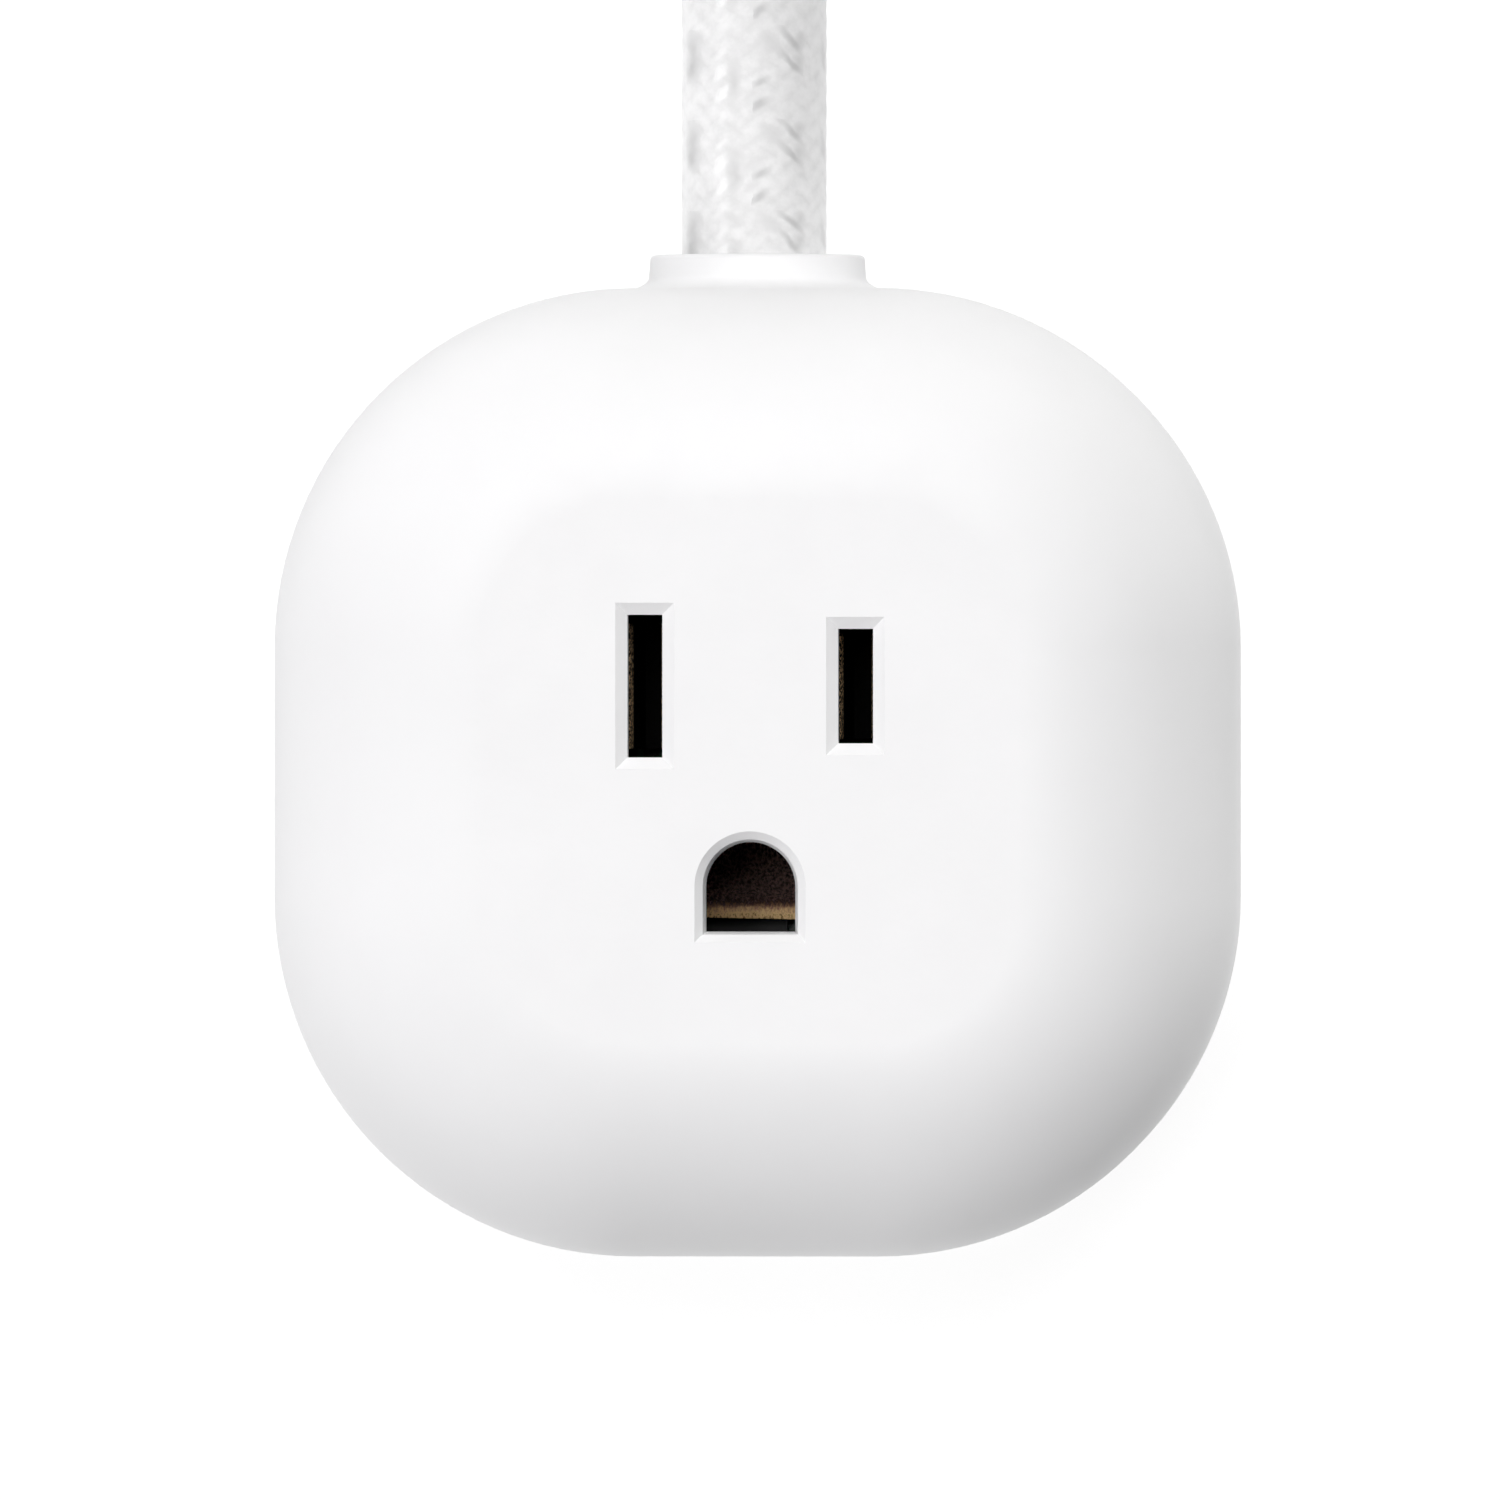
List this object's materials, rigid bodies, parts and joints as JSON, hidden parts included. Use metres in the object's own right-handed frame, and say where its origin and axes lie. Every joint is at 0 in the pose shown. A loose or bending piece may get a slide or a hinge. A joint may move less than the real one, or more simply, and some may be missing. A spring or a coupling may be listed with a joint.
{
  "type": "corded smart plug",
  "caption": "Rounded square switched outlet housing with one grounded socket, a side button and a braided power lead coiled behind it, ending in a flat grounded plug.",
  "frame": {"origin": "centre of the housing's flat back face, on the surface that it lies on", "axes": "+Z out of the socket face, +Y along the lead where it leaves the housing, +X to the right when facing the socket"},
  "size_m": [0.1144, 0.1996, 0.0623],
  "materials": {
    "housing_white": "fine satin moulded texture",
    "button_white": "satin moulded",
    "plug_white": "soft satin overmould",
    "insert_grey": "smooth",
    "carrier_black": "moulded",
    "contact_brass": "rolled, slightly tarnished",
    "screw_steel": "plated",
    "coil_copper": "wound wire",
    "board_green": "solder mask",
    "board_blue": "solder mask",
    "component_black": "moulded",
    "component_grey": "moulded",
    "component_white": "moulded",
    "relay_blue": "moulded",
    "capacitor_yellow": "moulded box",
    "transformer_tape": "wrapped tape",
    "terminal_green": "moulded",
    "wire_green": "insulation",
    "clear_plastic": "polished light guide",
    "cord_braid": "white braided yarn with light grey flecks",
    "tie_fabric": "woven hook and loop strap"
  },
  "bodies": {
    "housing": {"front_shell": "housing_white", "rear_shell": "housing_white", "housing_screws": "screw_steel", "contact_carrier": "carrier_black", "neutral_contact": "contact_brass", "hot_contact": "contact_brass", "ground_contact": "contact_brass", "main_board": "board_green", "board_screws": "screw_steel", "button_board": "board_green", "tactile_switch": "component_black", "light_pipe": "clear_plastic", "status_led": "component_white", "relay_base": "component_black", "relay_coil": "coil_copper", "relay_yoke": "screw_steel", "fixed_contact": "coil_copper", "relay_case": "relay_blue", "filter_capacitor": "capacitor_yellow", "transformer": "transformer_tape", "bulk_capacitor": "component_black", "varistor": "relay_blue", "fuse": "transformer_tape", "bridge_rectifier": "component_black", "wifi_board": "board_blue", "wifi_shield": "screw_steel", "wifi_header": "component_black", "terminal_block": "terminal_green", "hot_wire": "component_black", "neutral_wire": "component_white", "ground_wire": "wire_green", "load_wire": "component_black", "cord_clamp": "component_grey", "clamp_screws": "screw_steel", "cord_grommet": "housing_white", "cord_end": "cord_braid", "power_cord": "cord_braid", "cord_coil": "cord_braid", "cord_tail": "cord_braid", "cord_tie": "tie_fabric", "plug_body": "plug_white", "plug_insert": "insert_grey", "plug_hot_blade": "contact_brass", "plug_neutral_blade": "contact_brass", "plug_ground_pin": "contact_brass", "plug_strain_relief": "plug_white"},
    "button": {"power_button": "button_white"},
    "plunger": {"switch_plunger": "component_grey"},
    "armature": {"relay_armature": "screw_steel", "moving_contact": "coil_copper"}
  },
  "joints": [
    {"name": "button_press", "type": "slide", "parent": "housing", "child": "button", "axis": [0, 1, 0], "range_m": [0, 0.0005], "stiffness_N_per_m": 900, "springref_m": -0.0008},
    {"name": "plunger_press", "type": "slide", "parent": "housing", "child": "plunger", "axis": [0, 1, 0], "range_m": [0, 0.0005]},
    {"name": "armature_tilt", "type": "hinge", "parent": "housing", "child": "armature", "pos_m": [0.02, 0.0091, 0.0183], "axis": [-1, 0, 0], "range_deg": [0, 3.5], "stiffness_Nm_per_rad": 0.02, "springref_deg": -8.59}
  ],
  "couplings": [
    {"joint": "plunger_press", "follows": "button_press", "ratio": 1}
  ]
}
